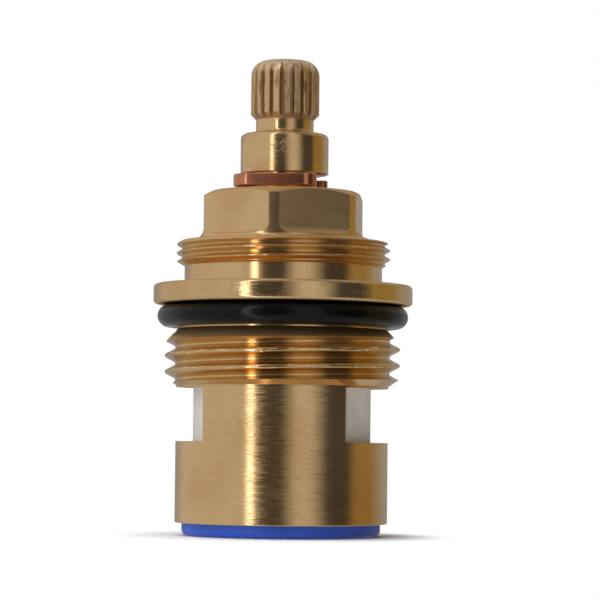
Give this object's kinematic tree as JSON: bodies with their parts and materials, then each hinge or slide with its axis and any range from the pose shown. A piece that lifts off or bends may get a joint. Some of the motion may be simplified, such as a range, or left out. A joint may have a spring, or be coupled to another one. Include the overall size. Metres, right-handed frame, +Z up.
{
  "type": "ceramic disc tap cartridge",
  "caption": "Quarter-turn tap cartridge: brass body with hexagon, flange and windowed sleeve, splined spindle, ceramic discs that open side ports, and a seal at the inlet.",
  "frame": {"origin": "centre of the inlet seal's foot, at the bottom of the cartridge", "axes": "+Z up along the spindle to its splined head, outlet ports facing +X and -X, pillars on +Y and -Y"},
  "size_m": [0.0292, 0.029, 0.0534],
  "materials": {
    "body_brass": "turned, satin to bright",
    "spindle_brass": "turned and milled, bright",
    "clip_bronze": "punched phosphor bronze, satin",
    "black_rubber": "moulded, slightly glossy",
    "blue_silicone": "moulded silicone, satin",
    "white_ceramic": "sintered and lapped, fine satin",
    "slip_plastic": "turned acetal",
    "support_plastic": "moulded acetal"
  },
  "bodies": {
    "housing": {"headwork_body": "body_brass", "body_o_ring": "black_rubber", "slip_ring": "slip_plastic", "inlet_disc": "white_ceramic", "inlet_seal": "blue_silicone", "seal_support_ring": "support_plastic"},
    "turning_spindle": {"spindle": "spindle_brass", "retaining_clip": "clip_bronze", "upper_stem_ring": "black_rubber", "lower_stem_ring": "black_rubber"},
    "turning_disc": {"control_disc": "white_ceramic"}
  },
  "joints": [
    {"name": "spindle_turn", "type": "hinge", "parent": "housing", "child": "turning_spindle", "pos_m": [0, 0, 0.03], "axis": [0, 0, 1], "range_deg": [-90, 0]},
    {"name": "control_disc_turn", "type": "hinge", "parent": "housing", "child": "turning_disc", "pos_m": [0, 0, 0.014], "axis": [0, 0, 1], "range_deg": [-90, 0]}
  ],
  "couplings": [
    {"joint": "control_disc_turn", "follows": "spindle_turn", "ratio": 1}
  ]
}
